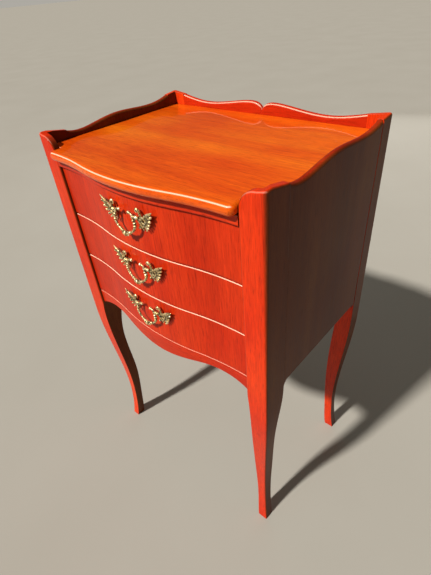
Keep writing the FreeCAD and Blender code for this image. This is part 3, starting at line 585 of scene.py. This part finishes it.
def place_mount(casting, drawer, name, side):
    """Lay a copy of the mount on the bowed face of its drawer, mirrored for the left-hand side."""
    low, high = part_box(f"drawer_{drawer}_front")
    middle = (low.z + high.z) / 2
    mesh = casting.copy()
    for vertex in mesh.vertices:
        out, up, proud = vertex.co
        back = bowed_back(out) - max(proud, 0)
        vertex.co = (side * out * MM, low.y + back * MM, middle + up * MM)
    if side < 0:
        mesh.flip_normals()
    mount = new_piece(f"drawer_{drawer}_{name}_leaf_mount", mesh, "gilt_brass")
    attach(mount, f"drawer_{drawer}")
    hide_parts(f"drawer_{drawer}_{name}_mount")


def place_bail(casting, drawer):
    """Hang a copy of the bail on its hinge, leaning forward a little."""
    hinge = next(joint for joint in frame["joints"] if joint["name"] == f"bail_{drawer}_hinge")
    pivot = Vector(hinge["pos_m"])
    lean = Matrix.Rotation(-math.radians(BAIL_TILT), 3, "X")
    mesh = casting.copy()
    for vertex in mesh.vertices:
        out, up, proud = vertex.co * MM
        vertex.co = pivot + lean @ Vector((out, -proud, up))
    bail = new_piece(f"drawer_{drawer}_cast_bail", mesh, "gilt_brass")
    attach(bail, f"bail_{drawer}")
    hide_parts(f"drawer_{drawer}_bail")


def new_piece(name, mesh, slot):
    """A piece of its own with the mesh, in the slot's finish."""
    mesh.name = name
    piece = bpy.data.objects.new(name, mesh)
    link_to_scene(piece)
    mesh.materials.clear()
    mesh.materials.append(FINISHES[slot])
    mesh.shade_smooth()
    return piece


def brass_handles():
    mount = mount_casting()
    bail = bail_casting()
    for drawer in DRAWERS:
        for name, side in SIDES.items():
            place_mount(mount, drawer, name, side)
        place_bail(bail, drawer)


# ---------------------------------------------------------------- studio


FLOOR_HALF = 400.0
FLOOR_TONES = [(0.3, rgb(0.345, 0.325, 0.285)), (0.7, rgb(0.36, 0.34, 0.30))]
SUN_FROM = (-0.15, -0.66, 0.735)
SUN_STRENGTH = 5.0
SUN_WIDTH = 3.5
SUN_COLOUR = (1.0, 0.965, 0.91)
FILL_PLACE = (-0.9, 2.2, 1.3)
FILL_TARGET = (0, 0, 0.45)
FILL_SIZE = 2.4
FILL_WATTS = 14
SKY_STRENGTH = 0.5
# Sky from the horizon, 0, to straight overhead, 1.
SKY_TONES = [
    (0.0, rgb(0.80, 0.77, 0.69)),
    (0.04, rgb(0.30, 0.285, 0.24)),
    (0.10, rgb(0.12, 0.114, 0.096)),
    (0.78, rgb(0.12, 0.114, 0.096)),
    (1.0, rgb(0.85, 0.82, 0.72)),
]
BACKDROP = rgb(0.84, 0.80, 0.72)


def pale_floor():
    """A plain, dull, pale floor."""
    mesh = bpy.data.meshes.new("floor")
    corners = [(-FLOOR_HALF, -FLOOR_HALF, 0), (FLOOR_HALF, -FLOOR_HALF, 0)]
    corners += [(FLOOR_HALF, FLOOR_HALF, 0), (-FLOOR_HALF, FLOOR_HALF, 0)]
    mesh.from_pydata(corners, [], [(0, 1, 2, 3)])
    floor = bpy.data.objects.new("floor", mesh)
    link_to_scene(floor)
    g = Graph("floor_paint")
    mottle = g.noise(g.coordinates(), 2.5)
    g.link(g.ramp(mottle, FLOOR_TONES), g.shader.inputs["Base Color"])
    g.set("Roughness", 1.0)
    g.set("Specular IOR Level", 0.0)
    mesh.materials.append(g.material)


def facing(direction):
    """Turn that points a lamp along the direction."""
    return Vector(direction).to_track_quat("-Z", "Y").to_euler()


def key_light():
    """A small sun from the front left, high up, so that shadows are fairly crisp."""
    lamp = bpy.data.lights.new("key", "SUN")
    lamp.energy = SUN_STRENGTH
    lamp.angle = math.radians(SUN_WIDTH)
    lamp.color = SUN_COLOUR
    holder = bpy.data.objects.new("key", lamp)
    holder.rotation_euler = facing(-Vector(SUN_FROM))
    link_to_scene(holder)


def rear_fill():
    """A soft box behind the chest that lifts the shade without showing in the varnish."""
    lamp = bpy.data.lights.new("rear_fill", "AREA")
    lamp.shape = "SQUARE"
    lamp.size = FILL_SIZE
    lamp.energy = FILL_WATTS
    holder = bpy.data.objects.new("rear_fill", lamp)
    holder.location = FILL_PLACE
    holder.rotation_euler = facing(Vector(FILL_TARGET) - Vector(FILL_PLACE))
    holder.visible_camera = False
    holder.visible_glossy = False
    link_to_scene(holder)


def sky():
    """A dim sky, bright along the horizon and overhead, with a plain backdrop in the picture."""
    world = bpy.data.worlds.new("studio")
    bpy.context.scene.world = world
    world.use_nodes = True
    tree = world.node_tree
    source = tree.nodes.new("ShaderNodeTexCoord")
    height = tree.nodes.new("ShaderNodeSeparateXYZ")
    ramp = tree.nodes.new("ShaderNodeValToRGB")
    seen = tree.nodes.new("ShaderNodeLightPath")
    backdrop = tree.nodes.new("ShaderNodeMixRGB")
    light = tree.nodes["Background"]
    tree.links.new(source.outputs["Generated"], height.inputs["Vector"])
    tree.links.new(height.outputs["Z"], ramp.inputs["Fac"])
    tree.links.new(ramp.outputs["Color"], backdrop.inputs["Color1"])
    tree.links.new(seen.outputs["Is Camera Ray"], backdrop.inputs["Fac"])
    tree.links.new(backdrop.outputs["Color"], light.inputs["Color"])
    backdrop.inputs["Color2"].default_value = BACKDROP
    light.inputs["Strength"].default_value = SKY_STRENGTH
    marks = ramp.color_ramp.elements
    marks[0].position, marks[0].color = SKY_TONES[0]
    marks[1].position, marks[1].color = SKY_TONES[-1]
    for place, colour in SKY_TONES[1:-1]:
        marks.new(place).color = colour


def studio_light():
    """The sky, the sun and the fill, shown in plain colours without a film-like curve."""
    sky()
    key_light()
    rear_fill()
    bpy.context.scene.view_settings.view_transform = "Standard"


CAMERA_PLACE = (0.4183, -0.4221, 0.8575)
CAMERA_YAW = 0.7774
CAMERA_PITCH = 0.6442
CAMERA_ROLL = -0.0988
FOCAL_LENGTH = 25.03
SENSOR_WIDTH = 36
NEAREST = 0.01


def photo_camera():
    """A camera turned to the left, tipped down and rolled a little."""
    forward = Vector((
        -math.sin(CAMERA_YAW) * math.cos(CAMERA_PITCH),
        math.cos(CAMERA_YAW) * math.cos(CAMERA_PITCH),
        -math.sin(CAMERA_PITCH),
    ))
    level = Vector((math.cos(CAMERA_YAW), math.sin(CAMERA_YAW), 0))
    upward = level.cross(forward)
    right = level * math.cos(CAMERA_ROLL) + upward * math.sin(CAMERA_ROLL)
    up = upward * math.cos(CAMERA_ROLL) - level * math.sin(CAMERA_ROLL)
    lens = bpy.data.cameras.new("camera")
    lens.sensor_width = SENSOR_WIDTH
    lens.lens = FOCAL_LENGTH
    lens.clip_start = NEAREST
    holder = bpy.data.objects.new("camera", lens)
    turn = Matrix((right, up, -forward)).transposed()
    holder.matrix_world = Matrix.Translation(CAMERA_PLACE) @ turn.to_4x4()
    link_to_scene(holder)
    bpy.context.scene.camera = holder


# ---------------------------------------------------------------- build


photo_camera()
pale_floor()
studio_light()
finish_cad_nodes()
brass_handles()
